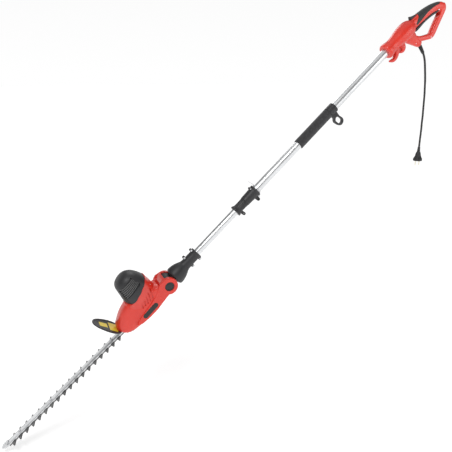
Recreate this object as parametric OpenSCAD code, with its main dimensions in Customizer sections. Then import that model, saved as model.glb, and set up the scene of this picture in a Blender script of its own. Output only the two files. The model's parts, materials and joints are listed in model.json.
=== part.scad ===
// Telescopic pole hedge trimmer, held at its working slope.
// Millimetres. The origin is the centre of the front foam grip, on the axis of the pole.
// Everything is drawn along the pole: x runs from the blade to the handle, z is the motor
// side, -y is the user's left. on_pole() then slopes it, and on_head() adds the head's tilt.

/* [Pole] */
// Slope of the pole above the horizontal, degrees
pole_slope = 42; // [30:1:55]
// Outer tube's outside diameter
outer_tube_d = 30; // [28:0.5:31]
// Inner tube's outside diameter
inner_tube_d = 26; // [24:0.5:26]
// Wall of both tubes
tube_wall = 1.5; // [1.2:0.1:1.8]
// Distance from the grip's centre back to the inner tube's hidden end
inner_tube_overlap = 94; // [60:1:94]

/* [Grip] */
// Length of the foam grip
grip_len = 158; // [140:1:158]
// Outside diameter of the foam grip
grip_d = 37.5; // [36:0.5:38]

/* [Handle] */
// Where the handle's collar starts
handle_start = 389; // [385:1:395]
// Half the width of the hand grip and its loop
handle_half = 16; // [15:0.5:17]
// Wall of the handle's shells
shell_wall = 2.6; // [2.4:0.1:3]

/* [Head] */
// Distance from the grip's centre to the head's pivot
pivot_back = 749; // [745:1:755]
// Tilt of the head against the pole as stored, degrees
head_rest = 2.2; // [0:0.1:4]
// Radius of the two ears round the pivot
ear_r = 30; // [29:0.5:31]
// Radius of the motor housing's rim
rim_r = 54; // [52:0.5:55]

/* [Blade] */
// Pitch of the blade's teeth
tooth_pitch = 28; // [27:0.1:28.5]
// Number of teeth on each side of a blade
tooth_count = 18; // [14:1:18]
// Half the stroke of each blade
half_stroke = 7; // [5:0.5:7]
// Thickness of one blade
blade_t = 2; // [1.8:0.1:2.2]

/* [Gears] */
// Tooth size of the reduction, pitch diameter over teeth
gear_module = 1.25; // [1.25:0.05:1.3]
// Teeth of the motor's pinion
pinion_teeth = 8; // [8:1:8]
// Teeth of the driven gear
gear_teeth = 40; // [40:1:40]

/* [Hidden] */
$fn = 64;
gap = 0.3;             // clearance between bodies that slide or turn past each other
run = 0.05;            // radial running clearance of a shaft in its bore
red = [0.80, 0.12, 0.07];
black = [0.09, 0.09, 0.10];
steel = [0.72, 0.73, 0.75];
alloy = [0.86, 0.87, 0.88];
yellow = [0.90, 0.80, 0.15];
copper = [0.72, 0.42, 0.20];

outer_r = outer_tube_d / 2;
inner_r = inner_tube_d / 2;
pivot_z = 6;
tube_front = -359;     // mouth of the outer tube
tube_back = 455;       // the outer tube's end inside the handle
neck_end = -602;       // end rim of the neck
neck_seat = -676;      // the inner tube's end inside the neck
far = 400;             // larger than any cutting block needs
fork_half = 24.3;      // half the gap between the ears
ear_out = 38;          // outer face of the ears

// Places in the head's own frame, whose origin is the pivot
motor_x = -87;
gear_x = motor_x - gear_module * (pinion_teeth + gear_teeth) / 2;
gear_z = -3;           // middle of the gear
gear_t = 7;
rail_z = -11;          // middle of the blade rail
rail_t = 5;
upper_z = rail_z - rail_t / 2 - gap - blade_t / 2;
lower_z = upper_z - blade_t - gap;
first_tooth = -246;
blade_tip = -763;
rim_z = 77;            // middle of the motor housing's rim
rim_tilt = 7;          // the rim leans towards the blade
cap_h = 61;

// Route of the free cord: x and z in the row frame, y is 0
cord_d = 7.5;
cord_sides = 10;
exit_point = [524, -82];       // where the cord leaves the handle, along the pole
CORD_ROUTE = [
  [467, 262], [473, 252], [478, 240], [482, 227], [485, 213], [488, 198], [491, 182],
  [494, 164], [496, 146], [498, 127], [500, 107], [501, 87], [502, 66], [503, 45],
  [504, 23], [504, 1], [505, -21], [505, -43], [505, -65], [505, -80], [505, -94]
];
plug_top = [505, -94];
plug_h = 55;

// ---------------------------------------------------------------- helpers

module on_pole() {
  rotate([0, -pole_slope, 0]) children();
}

module on_head() {
  on_pole() translate([-pivot_back, 0, pivot_z]) rotate([0, head_rest, 0]) children();
}

// A solid of revolution about the pole's axis, from [x, radius] points
module lathe(points, turns = 64) {
  rotate([0, 90, 0]) rotate_extrude($fn = turns) polygon([for (p = points) [p[1], p[0]]]);
}

// A plain round bar along x
module bar_x(x0, x1, r) {
  translate([x0, 0, 0]) rotate([0, 90, 0]) cylinder(h = x1 - x0, r = r);
}

// A plain round bar along y
module bar_y(x, z, y0, y1, r) {
  translate([x, y0, z]) rotate([-90, 0, 0]) cylinder(h = y1 - y0, r = r);
}

// An outline in x and z, drawn out along y
module plate_y(y0, y1) {
  translate([0, y1, 0]) rotate([90, 0, 0]) linear_extrude(y1 - y0) children();
}

// Keeps one side of the parting plane: -1 is the user's left, 1 the right
module half(side) {
  intersection() {
    children();
    translate([-far * 5, side < 0 ? -far : 0, -far]) cube([far * 10, far, far * 2]);
  }
}

// A 2D bar from p to q with round ends of radius r, each end in steps of 15 degrees
module stadium(p, q, r) {
  heading = atan2(q[1] - p[1], q[0] - p[0]);
  function arc(centre, start) = [for (a = [0 : 15 : 180])
    centre + r * [cos(start + a), sin(start + a)]];
  polygon(concat(arc(q, heading - 90), arc(p, heading + 90)));
}

// ---------------------------------------------------------------- handle

module handle_outline() {
  polygon([
    [470, -28], [478, -34], [493, -54], [503, -70], [512, -78], [526, -84], [540, -84],
    [566, -99], [574, -102], [583, -101], [602, -94], [637, -79], [672, -63], [686, -55],
    [693, -45], [692, -34], [681, -20], [658, -6], [634, 2], [609, 9], [584, 14],
    [560, 19], [535, 24], [517, 26], [490, 20]
  ]);
}

module hand_opening() {
  polygon([
    [530, -29], [560, -28], [612, -30], [645, -38], [650, -42], [640, -49], [623, -57],
    [592, -72], [574, -80], [564, -78], [548, -67], [528, -52], [522, -44], [524, -34]
  ]);
}

module barrel() {
  lathe([
    [handle_start, 0], [handle_start, 25.2],
    [398, 25.8], [430, 27.5], [469, 29.5], [495, 30.3],
    [517, 28.5], [532, 22], [540, 10], [541, 0]
  ]);
}

module cord_hooks() {
  plate_y(-6, 6) {
    difference() {
      union() {
        stadium([426, -26], [418, -38], 5.5);
        stadium([418, -38], [394, -41], 5.5);
      }
      stadium([396, -31], [407, -30], 4.6);
    }
    polygon([
      [468, -26], [468, -40], [465, -49], [458, -53], [449, -53], [446, -48], [448, -43],
      [454, -42], [456, -26]
    ]);
  }
}

module handle_solid() {
  barrel();
  plate_y(-handle_half, handle_half) difference() {
    handle_outline();
    hand_opening();
  }
  cord_hooks();
}

module handle_cavity() {
  bar_x(handle_start - 1, tube_back + gap, outer_r);
  lathe([
    [tube_back - 1, 0], [tube_back - 1, 24], [470, 26.5], [495, 27.4], [514, 25.5],
    [528, 19], [528, 0]
  ]);
  // room for the switch, the trigger and the lock-off button inside the grip
  inside = handle_half - shell_wall;
  plate_y(-inside, inside) polygon([
    [500, -24], [531, -20], [612, -22], [656, -33], [662, -28], [650, -10], [614, 3],
    [584, 9], [545, 16], [500, 20]
  ]);
  // way down to the strain relief
  plate_y(-8, 8) polygon([
    [490, -20], [502, -56], [510, -73], [532, -73], [532, -61], [519, -54], [512, -20]
  ]);
  // mouth of the trigger
  plate_y(-7.6, 7.6) polygon([[533, -10], [533, -36], [657, -52], [657, -24]]);
  // pocket of the trigger's return spring
  bar_y(trigger_pivot[0], trigger_pivot[1], 7.5, inside, 4.4);
  // mouth of the lock-off button
  lock_off_place() cube([31, 13, 30], center = true);
  strain_relief_bore();
}

module strain_relief_bore() {
  translate([exit_point[0], 0, exit_point[1]]) rotate([0, -relief_lean, 0])
    cylinder(h = 30, r = 6, center = true);
}

module lock_off_place() {
  translate([550, 0, 13]) rotate([0, 20, 0]) children();
}

module handle_bosses() {
  for (p = HANDLE_SCREWS) bar_y(p[0], p[1], -handle_half + 1, handle_half - 1, 4);
}

HANDLE_SCREWS = [[478, -22], [506, -62], [574, -90], [668, -48], [676, -36], [526, 14]];
relief_lean = -3;

module handle_half_shell(side) {
  color(red) half(side) difference() {
    union() {
      difference() {
        handle_solid();
        handle_cavity();
      }
      handle_bosses();
    }
    bar_y(trigger_pivot[0], trigger_pivot[1], -far, far, 2);
    for (p = HANDLE_SCREWS) {
      bar_y(p[0], p[1], -far, far, 1.6);
      bar_y(p[0], p[1], handle_half - 3, far, 3.4);
    }
    soft_grip_band(0);
  }
}

module handle_shell_left() {
  on_pole() handle_half_shell(-1);
}

module handle_shell_right() {
  on_pole() handle_half_shell(1);
}

// The overmould is a 1.2 mm skin let into the shells' top and upper sides
module soft_grip_band(inset) {
  difference() {
    plate_y(-handle_half - 1, handle_half + 1) grip_band_outline(inset);
    plate_y(-handle_half + 1.2, handle_half - 1.2) grip_band_core(inset);
  }
}

module grip_band_outline(inset) {
  polygon([
    [575 + inset, 40], [575 + inset, 14], [552 + inset, 4], [546 + inset, -8],
    [556 + inset, -12 + inset], [612, -9 + inset], [668 - inset, -22 + inset], [676 - inset, 0]
  ]);
}

module grip_band_core(inset) {
  polygon([
    [530, -60], [530, 23.2], [560, 17], [584, 12.1], [609, 7.1], [634, 0.1], [657, -7.7],
    [680, -21.5], [690, -60]
  ]);
}

module handle_soft_grip() {
  color(black) on_pole() intersection() {
    soft_grip_band(0.1);
    plate_y(-handle_half, handle_half) handle_outline();
  }
}

module handle_screws() {
  color(steel) on_pole() for (p = HANDLE_SCREWS) {
    bar_y(p[0], p[1], -handle_half + 4, handle_half - 3, 1.55);
    bar_y(p[0], p[1], handle_half - 2.9, handle_half - 0.8, 3.2);
  }
}

trigger_pivot = [650, -32];

module switch_trigger() {
  color(black) on_pole() difference() {
    plate_y(-7, 7) {
      polygon([
        [534.5, -15], [534.5, -27], [538, -30], [560, -30.5], [612, -33], [645, -40],
        [654, -37], [655, -31], [648, -27.5], [610, -18], [560, -13]
      ]);
    }
    bar_y(trigger_pivot[0], trigger_pivot[1], -far, far, 2 + run);
  }
}

module trigger_pin() {
  color(steel) on_pole()
    bar_y(trigger_pivot[0], trigger_pivot[1], -handle_half + 0.5, handle_half - 0.5, 1.98);
}

module trigger_spring() {
  coil_r = 3.4;
  wire_r = 0.6;
  color(steel) on_pole() for (turn = [0 : 3])
    translate([trigger_pivot[0], 8.4 + 1.25 * turn, trigger_pivot[1]]) rotate([90, 0, 0])
      rotate_extrude($fn = 32) translate([coil_r, 0]) circle(wire_r, $fn = 16);
}

module lock_off_button() {
  color(black) on_pole() lock_off_place() {
    translate([0, 0, 4]) cube([30, 12, 12], center = true);
    translate([-12.5, 0, 11]) cube([5, 12, 4], center = true);
    translate([0, 0, -3]) cube([30, 19, 2], center = true);
  }
}

module switch_module() {
  color(black) on_pole() {
    translate([576, -10, -6.3]) rotate([0, 8, 0]) cube([30, 20, 12]);
    translate([582, -3, -8.5]) cube([5, 6, 3]);
  }
}

module capacitor() {
  color(yellow) on_pole() translate([496, -9, -4]) cube([24, 18, 12]);
}

// ---------------------------------------------------------------- cord and plug

module cord_strain_relief() {
  color(black) on_pole() translate([exit_point[0], 0, exit_point[1]]) rotate([0, 180 - relief_lean, 0])
    difference() {
      union() {
        translate([0, 0, -19.5]) cylinder(h = 9, r = 6.8);
        translate([0, 0, -11]) cylinder(h = 18, r = 5.9);
        translate([0, 0, 2]) cylinder(h = 34, r1 = 6.6, r2 = 4.9);
      }
      for (groove = [0 : 4]) translate([0, 0, 11 + 5 * groove]) difference() {
        cylinder(h = 1.6, r = 8);
        cylinder(h = 1.6, r = 4.4);
      }
    }
}

function along(i) = let (n = len(CORD_ROUTE))
  CORD_ROUTE[min(i + 1, n - 1)] - CORD_ROUTE[max(i - 1, 0)];

// One ring of the cord: a circle across the route at its point i
function cord_ring(i) = let (p = CORD_ROUTE[i], d = along(i) / norm(along(i)))
  [for (k = [0 : cord_sides - 1]) let (a = 360 * k / cord_sides, c = cos(a) * cord_d / 2)
    [p[0] + c * d[1], sin(a) * cord_d / 2, p[1] - c * d[0]]];

module mains_cord() {
  n = len(CORD_ROUTE);
  s = cord_sides;
  points = [for (i = [0 : n - 1]) each cord_ring(i)];
  sides = [for (i = [0 : n - 2]) for (k = [0 : s - 1])
    [i * s + k, i * s + (k + 1) % s, (i + 1) * s + (k + 1) % s, (i + 1) * s + k]];
  first = [for (k = [s - 1 : -1 : 0]) k];
  last = [for (k = [0 : s - 1]) (n - 1) * s + k];
  color(black) polyhedron(points = points, faces = concat([first], sides, [last]));
}

module mains_plug() {
  color(black) translate([plug_top[0], 0, plug_top[1]]) difference() {
    union() {
      translate([0, 0, -20]) cylinder(h = 20, r1 = 6.5, r2 = 5);
      translate([0, 0, -41]) cylinder(h = 21, r1 = 14, r2 = 9);
      translate([0, 0, -46]) cylinder(h = 5, r1 = 17.6, r2 = 14);
      translate([0, 0, -plug_h]) cylinder(h = 9, r = 17.6);
    }
    for (side = [-1, 1]) translate([side * 9.5, 0, -plug_h - 1]) cylinder(h = 15, r = 1.9);
  }
}

module plug_pins() {
  pin_len = 19;
  color(steel) for (side = [-1, 1])
    translate([plug_top[0] + side * 9.5, 0, plug_top[1] - plug_h - pin_len]) {
      cylinder(h = pin_len, r = 2.4);
      cylinder(h = pin_len + 14, r = 1.9);
    }
}

// ---------------------------------------------------------------- pole

module tube(x0, x1, r) {
  difference() {
    bar_x(x0, x1, r);
    bar_x(x0 - 1, x1 + 1, r - tube_wall);
  }
}

module outer_tube() {
  color(alloy) on_pole() tube(tube_front, tube_back, outer_r);
}

module inner_tube() {
  color(alloy) on_pole() tube(neck_seat, inner_tube_overlap, inner_r);
}

module front_grip() {
  half_len = grip_len / 2;
  color(black) on_pole() lathe([
    [-half_len, outer_r], [-half_len, grip_d / 2 - 1], [-half_len + 1, grip_d / 2],
    [half_len - 1, grip_d / 2], [half_len, grip_d / 2 - 1], [half_len, outer_r]
  ]);
}

collar_x0 = grip_len / 2 + 0.4;
collar_x1 = collar_x0 + 32;
collar_r = 19;

module loop_collar() {
  color(black) on_pole() difference() {
    lathe([
      [collar_x0, outer_r], [collar_x0, collar_r], [collar_x0 + 6, collar_r],
      [collar_x0 + 7.2, collar_r - 1.2], [collar_x0 + 8.4, collar_r],
      [collar_x1 - 1, collar_r], [collar_x1, collar_r - 1], [collar_x1, outer_r]
    ]);
    translate([collar_x0 + 4, -6.2, -23]) cube([24, 12.4, 5.5]);
  }
}

module hanging_loop() {
  mid = (collar_x0 + collar_x1) / 2;
  color(black) on_pole() plate_y(-6, 6) difference() {
    union() {
      stadium([mid - 2, -44], [mid + 2, -55], 15.5);
      translate([mid - 12, -44]) square([24, 26.5]);
    }
    stadium([mid - 1, -43], [mid + 2, -54], 9.5);
  }
}

// Lock coupling: two clamped halves on the outer tube and a twisting collar below them
lock_back = -301;

LOCK_SCREWS = [[-314, 21.2], [-309, -21.5]];

module lock_half(side) {
  color(black) on_pole() half(side) difference() {
    union() {
      lathe([
        [tube_front, 0], [tube_front, 17], [-350, 17.6], [-322, 18.6], [-306, 19],
        [-303, 20], [lock_back, 20], [lock_back, 0]
      ]);
      translate([-323, -6, -24]) cube([18, 12, 48]);
      plate_y(-4, 4) stadium([-318, -20], [-316, -31], 6);
    }
    bar_x(tube_front - 1, lock_back + 1, outer_r);
    bar_y(-316, -31, -far, far, 2.6);
    for (p = LOCK_SCREWS) bar_y(p[0], p[1], -far, far, 1.6);
  }
}

module lock_body_left() {
  lock_half(-1);
}

module lock_body_right() {
  lock_half(1);
}

module lock_screws() {
  color(steel) on_pole() for (p = LOCK_SCREWS) {
    bar_y(p[0], p[1], -6, 6, 1.55);
    bar_y(p[0], p[1], -8, -6.05, 2.3);
    bar_y(p[0], p[1], 6.05, 8, 2.3);
  }
}

module guide_bush() {
  color(black) on_pole() lathe([
    [tube_front - 24, inner_r + run], [tube_front - 24, 14.2], [tube_front - 1, 14.2],
    [tube_front - 1, outer_r - 0.1], [tube_front - 0.1, outer_r - 0.1],
    [tube_front - 0.1, outer_r - tube_wall - 0.02], [tube_front + 30, outer_r - tube_wall - 0.02],
    [tube_front + 30, inner_r + run]
  ]);
}

module lock_collar() {
  x0 = -407;
  x1 = tube_front - gap;
  color(black) on_pole() {
    difference() {
      union() {
        lathe([
          [x0, inner_r + gap], [x0, 18], [x0 + 2, 19], [x0 + 8, 18.6], [x0 + 15, 17.2],
          [x1 - 2, 17], [x1, 16.4], [x1, outer_r], [x1 - 1, outer_r], [x1 - 1, 14.5],
          [x0 + 20, 14.5], [x0 + 20, inner_r + gap]
        ]);
        difference() {
          plate_y(-4, 4) stadium([-392, -18], [-389, -29], 6);
          bar_x(-402, x1 - 1, 16);
        }
      }
      bar_y(-389, -30, -far, far, 2.6);
    }
    for (rib = [0 : 11]) rotate([rib * 30 + 15, 0, 0])
      translate([x0 + 17, -1, 16.7]) cube([22, 2, 1.1]);
  }
}

module strap_eye() {
  color(steel) on_pole() difference() {
    union() {
      lathe([[-298, outer_r], [-298, 17.5], [-294.5, 17.5], [-294.5, outer_r]]);
      plate_y(-6, 6) polygon([[-296, 16], [-294.5, 16], [-294.5, 24], [-300, 42], [-301.5, 41.5], [-296, 23.5]]);
    }
    translate([-298, 0, 35]) rotate([0, 73, 0]) cylinder(h = 20, r = 3.2, center = true);
  }
}

module coiled_lead() {
  color(black) on_pole() difference() {
    bar_x(298, 440, 12);
    bar_x(291, 441, 5);
  }
}

module tube_slider() {
  color(black) on_pole() lathe([
    [inner_tube_overlap + 0.1, 8], [inner_tube_overlap + 0.1, outer_r - tube_wall - 0.1],
    [inner_tube_overlap + 9, outer_r - tube_wall - 0.1], [inner_tube_overlap + 9, 8]
  ]);
}

module inner_lead() {
  color(black) on_pole() bar_x(-684, inner_tube_overlap + 6, 3);
}

// ---------------------------------------------------------------- neck

neck_knuckle_r = 27;
NECK_SCREWS = [[-611, 24], [-646, 24], [-611, -24], [-646, -24]];

module neck_solid() {
  difference() {
    union() {
      lathe([
        [-724, 0], [-724, 16], [-720, 27], [-717, 32], [-713, 34], [-704, 33.4], [-694, 31.6],
        [-684, 28.6], [-675, 24.8], [-668, 21.4], [-661, 19.6], [-640, 18.8], [-612, 18.6],
        [-606, 21.4], [neck_end, 21.4], [neck_end, 0]
      ]);
      for (p = NECK_SCREWS) {
        bar_y(p[0], p[1], -5, 5, 4.6);
        plate_y(-5, 5) stadium([p[0], p[1] * 0.6], [p[0], p[1]], 4.6);
      }
    }
    // the ears' circle, so the wide end clears them as the head tilts
    translate([-pivot_back, 0, pivot_z]) for (side = [-1, 1])
      bar_y(0, 0, side < 0 ? -far : fork_half - 0.6, side < 0 ? -fork_half + 0.6 : far, ear_r + 1);
  }
  bar_y(-pivot_back, pivot_z, -fork_half + gap, fork_half - gap, neck_knuckle_r);
  translate([-pivot_back, -18, pivot_z - 19]) cube([30, 36, 34]);
}

module neck_cavity() {
  bar_x(neck_seat - 0.2, neck_end + 1, inner_r + run);
  bar_x(-716, neck_seat, 8);
  bar_y(-pivot_back, pivot_z, -far, far, 6 + run);
  for (p = NECK_SCREWS) bar_y(p[0], p[1], -far, far, 1.6);
}

module neck_half(side) {
  color(black) on_pole() half(side) difference() {
    neck_solid();
    neck_cavity();
  }
}

module neck_shell_left() {
  neck_half(-1);
}

module neck_shell_right() {
  neck_half(1);
}

module neck_screws() {
  color(steel) on_pole() for (p = NECK_SCREWS) {
    bar_y(p[0], p[1], -5, 5, 1.55);
    bar_y(p[0], p[1], -7.2, -5.05, 3.6);
    bar_y(p[0], p[1], 5.05, 7.2, 3.2);
  }
}

// ---------------------------------------------------------------- head

module head_profile() {
  polygon([
    [-221, -14], [-221, 12], [-216, 22], [-200, 34], [-170, 50], [-142, 64], [-60, 66],
    [-34, 64], [-22, 38], [-20, 22], [0, 16], [0, -16], [-14, -22], [-48, -28], [-90, -36],
    [-176, -36], [-200, -30]
  ]);
}

module in_rim() {
  translate([motor_x, 0, rim_z]) rotate([0, -rim_tilt, 0]) children();
}

module head_solid() {
  plate_y(-30, 30) head_profile();
  in_rim() translate([0, 0, -42]) cylinder(h = 42, r1 = 42, r2 = rim_r);
  in_rim() cylinder(h = 3, r = rim_r);
  for (side = [-1, 1]) {
    bar_y(0, 0, side < 0 ? -ear_out : fork_half, side < 0 ? -fork_half : ear_out, ear_r);
    plate_y(side < 0 ? -34 : fork_half, side < 0 ? -fork_half : 34) polygon([
      [0, 24], [-20, 27], [-44, 36], [-70, 10], [-62, -28], [-14, -26]
    ]);
  }
}

module head_cavity() {
  // fork for the neck
  bar_y(0, 0, -fork_half, fork_half, neck_knuckle_r + 1.4);
  translate([0, -fork_half, -60]) cube([60, 2 * fork_half, 120]);
  translate([-14, -fork_half, 0]) cube([60, 2 * fork_half, 60]);
  translate([-10, -fork_half, -60]) cube([60, 2 * fork_half, 60]);
  // pivot bore and the release button's well
  bar_y(0, 0, -far, far, 6);
  bar_y(0, 0, -far, -30, 16.4);
  bar_y(0, 0, 34, far, 10);
  // motor room
  translate([motor_x, 0, 14]) cylinder(h = 50, r = 38);
  in_rim() translate([0, 0, -24]) cylinder(h = 30, r = rim_r - 11);
  // gear case room
  translate([-200, -27, -33]) cube([147, 54, 49.6]);
  // blade room
  translate([-230, -23, lower_z - 4.5]) cube([40, 46, 14]);
  for (slot = [0 : 4]) head_vent(slot);
  for (p = HEAD_SCREWS) bar_y(p[0], p[1], -far, far, 1.6);
}

module head_vent(slot) {
  length = 18 + 5 * slot;
  for (side = [-1, 1]) translate([-112 + 11.5 * slot, side * 40, 12])
    rotate([0, 22, 0]) translate([-1.7, -14, 0]) cube([3.4, 28, length]);
}

HEAD_SCREWS = [[-208, 14], [-160, 42], [-44, -20], [-40, 52], [-196, -26]];

module head_half(side) {
  color(red) on_head() half(side) difference() {
    union() {
      difference() {
        head_solid();
        head_cavity();
      }
      head_bosses();
    }
    for (p = HEAD_SCREWS) {
      bar_y(p[0], p[1], -far, far, 1.6);
      bar_y(p[0], p[1], 26, far, 3.4);
    }
  }
}

module head_bosses() {
  for (p = HEAD_SCREWS) bar_y(p[0], p[1], -29, 29, 3.9);
}

module head_shell_left() {
  head_half(-1);
}

module head_shell_right() {
  head_half(1);
}

module head_screws() {
  color(steel) on_head() for (p = HEAD_SCREWS) {
    bar_y(p[0], p[1], -26, 26, 1.55);
    bar_y(p[0], p[1], 26, 28.5, 3.2);
  }
}

module motor_cap() {
  base = 3.1;
  CAP = [
    [0, rim_r - 1.5], [10, rim_r - 3], [22, 49], [34, 45], [44, 39.5], [52, 33], [cap_h - 3, 23],
    [cap_h, 8]
  ];
  color(black) on_head() in_rim() translate([0, 0, base]) difference() {
    rotate_extrude() polygon(concat([[0, 0]], [for (p = CAP) [p[1], p[0]]], [[0, cap_h]]));
    rotate_extrude() polygon(concat(
      [[0, -1]], [[rim_r - 5, -1]], [for (p = CAP) [p[1] - 3, p[0] - 3]], [[0, cap_h - 3]]
    ));
    for (slot = [0 : 5]) rotate([0, 0, -115 + 9 * slot]) translate([30, -1.4, 14]) cube([40, 2.8, 26]);
    for (slot = [0 : 5]) rotate([0, 0, 70 + 9 * slot]) translate([30, -1.4, 14]) cube([40, 2.8, 26]);
  }
}

module badge_plate() {
  color(black) on_head() translate([0, -30.05, 0]) rotate([90, 0, 0]) linear_extrude(1)
    stadium([-128, -12], [-76, -14], 8);
}

guard_lean = 18;

module guard_frame() {
  translate([-225.5, 0, -9]) rotate([0, -guard_lean, 0]) children();
}

module blade_guard() {
  color(black) on_head() guard_frame() translate([0, 0, 2]) rotate([90, 0, -90])
    linear_extrude(3) difference() {
      intersection() {
        translate([28, 52]) circle(66);
        translate([-28, 52]) circle(66);
        translate([-50, -2]) square([100, 112]);
      }
      translate([-14, -3]) square([28, 12]);
    }
}

module guard_label() {
  color(yellow) on_head() guard_frame() translate([0.65, 0, 0]) rotate([90, 0, -90])
    linear_extrude(0.6) {
      translate([-23, 20]) square([46, 24]);
      translate([-14, 52]) square([28, 28]);
    }
}

module pivot_bolt() {
  color(steel) on_head() {
    bar_y(0, 0, -29.8, 34, 5.95);
    bar_y(0, 0, 34.05, 39, 9.6);
  }
}

module release_button() {
  color(black) on_head() difference() {
    union() {
      bar_y(0, 0, -37.5, -34.2, 15.9);
      bar_y(0, 0, -38.6, -37.5, 13);
    }
    bar_y(0, 0, -36, -30, 9);
  }
}

module release_spring() {
  color(steel) on_head() for (turn = [0 : 1])
    translate([0, -30.75 - 1.25 * turn, 0]) rotate([90, 0, 0])
      rotate_extrude($fn = 32) translate([7.5, 0]) circle(0.6, $fn = 16);
}

// ---------------------------------------------------------------- drive

module gear_case() {
  color(alloy) on_head() difference() {
    translate([-196, -25, -8.8]) cube([142, 50, 22]);
    translate([gear_x, 0, gear_z - gear_t / 2 - 1]) cylinder(h = gear_t + 2.5, r = 28);
    translate([motor_x, 0, -20]) cylinder(h = 60, r = 8);
    translate([motor_x, 0, 8]) cylinder(h = 20, r = 11);
    translate([gear_x, 0, -30]) cylinder(h = 60, r = 17.5);
    translate([gear_x - 60, -30, 5]) cube([34, 60, 20]);
  }
}

module gear_case_cover() {
  color(alloy) on_head() {
    translate([gear_x, 0, 13.4]) cylinder(h = 2.4, r = 21);
    translate([gear_x, 0, -18]) cylinder(h = 31.4, r = 4 - run);
  }
}

// Outline of a spur gear with straight-sided teeth, one tooth centred on the x axis
module gear_outline(teeth) {
  pitch_r = gear_module * teeth / 2;
  tip_r = pitch_r + 0.8 * gear_module;
  root_r = pitch_r - 1.05 * gear_module;
  step = 360 / teeth;
  polygon([for (k = [0 : teeth - 1]) each [
    [root_r * cos(step * (k - 0.32)), root_r * sin(step * (k - 0.32))],
    [tip_r * cos(step * (k - 0.10)), tip_r * sin(step * (k - 0.10))],
    [tip_r * cos(step * (k + 0.10)), tip_r * sin(step * (k + 0.10))],
    [root_r * cos(step * (k + 0.32)), root_r * sin(step * (k + 0.32))]
  ]]);
}

cam_r = 8;

module drive_gear() {
  color(steel) on_head() translate([gear_x, 0, 0]) {
    difference() {
      union() {
        translate([0, 0, gear_z - gear_t / 2]) rotate([0, 0, 180 / gear_teeth])
          linear_extrude(gear_t) gear_outline(gear_teeth);
        translate([0, 0, -9.2]) cylinder(h = 6, r = 12);
      }
      translate([0, 0, -20]) cylinder(h = 60, r = 4);
    }
    difference() {
      union() {
        translate([half_stroke, 0, upper_z - 1.1]) cylinder(h = 4, r = cam_r);
        translate([-half_stroke, 0, lower_z - 1.1]) cylinder(h = 2.2, r = cam_r);
        translate([0, 0, lower_z - 1.1]) cylinder(h = 12, r = 5);
      }
      translate([0, 0, -30]) cylinder(h = 60, r = 4);
    }
  }
}

module pinion() {
  color(steel) on_head() translate([motor_x, 0, gear_z - gear_t / 2 - 0.5]) difference() {
    linear_extrude(gear_t + 1) gear_outline(pinion_teeth);
    translate([0, 0, -1]) cylinder(h = 20, r = 2.5);
  }
}

module motor_rotor() {
  color(copper) on_head() translate([motor_x, 0, 0]) {
    translate([0, 0, -7.4]) cylinder(h = 125, r = 2.5);
    translate([0, 0, 38]) cylinder(h = 44, r = 17);
    translate([0, 0, 33]) cylinder(h = 54, r = 14);
    translate([0, 0, 92]) cylinder(h = 14, r = 11);
  }
}

module motor_fan() {
  color(black) on_head() translate([motor_x, 0, 20]) difference() {
    union() {
      cylinder(h = 2, r = 30);
      cylinder(h = 9, r = 6);
      for (blade = [0 : 9]) rotate([0, 0, 36 * blade]) translate([5, -0.9, 1]) cube([24, 1.8, 7.4]);
    }
    translate([0, 0, -1]) cylinder(h = 20, r = 2.5);
  }
}

module motor_stator() {
  color(steel) on_head() translate([motor_x, 0, 36]) difference() {
    intersection() {
      translate([-32, -27, 0]) cube([64, 54, 48]);
      cylinder(h = 48, r = 34);
    }
    translate([0, 0, -1]) cylinder(h = 60, r = 17.8);
  }
}

module brush_holders() {
  color(copper) on_head() translate([motor_x, 0, 99]) for (side = [-1, 1])
    translate([-4, side < 0 ? -27 : 11.6, -5]) cube([8, 15.4, 10]);
}

module motor_bearings() {
  color(steel) on_head() translate([motor_x, 0, 0]) for (z = [8.6, 109]) difference() {
    translate([0, 0, z]) cylinder(h = 6, r = 8);
    translate([0, 0, z - 1]) cylinder(h = 8, r = 2.5 + run);
  }
}

// ---------------------------------------------------------------- blades

BOLTS = [-270, -410, -550, -690];
bolt_r = 3;

module blade_rail() {
  color(steel) on_head() difference() {
    translate([0, 0, rail_z - rail_t / 2]) linear_extrude(rail_t) difference() {
      union() {
        translate([blade_tip + 10, -10]) square([-196.3 - blade_tip - 10, 20]);
        translate([blade_tip + 10, 0]) circle(10);
      }
      for (x = BOLTS) translate([x, 0]) circle(bolt_r);
    }
    translate([blade_tip + 30, 0, rail_z + rail_t / 2 + 0.6]) rotate([0, 90, 0]) cylinder(h = 490, r = 1.6);
  }
}

module blade_outline(shift) {
  root_half = 12;
  tip_half = 32;
  difference() {
    union() {
      translate([blade_tip + 22, -root_half]) square([-205 - blade_tip - 22, 2 * root_half]);
      translate([-208, -21]) square([108, 42]);
      for (k = [0 : tooth_count - 1])
        translate([first_tooth - k * tooth_pitch + shift, 0]) polygon([
          [-8, -root_half], [-3.5, -tip_half], [3.5, -tip_half], [8, -root_half],
          [8, root_half], [3.5, tip_half], [-3.5, tip_half], [-8, root_half]
        ]);
    }
    for (x = BOLTS) stadium([x - half_stroke - 1, 0], [x + half_stroke + 1, 0], bolt_r + 0.4);
    translate([gear_x, 0]) stadium([-half_stroke - 1.5, 0], [half_stroke + 1.5, 0], half_stroke + cam_r + 0.6);
  }
}

module upper_blade() {
  color(steel) on_head() translate([0, 0, upper_z - blade_t / 2]) linear_extrude(blade_t) blade_outline(0);
}

module lower_blade() {
  color(steel) on_head() translate([0, 0, lower_z - blade_t / 2]) linear_extrude(blade_t) blade_outline(1);
}

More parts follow.
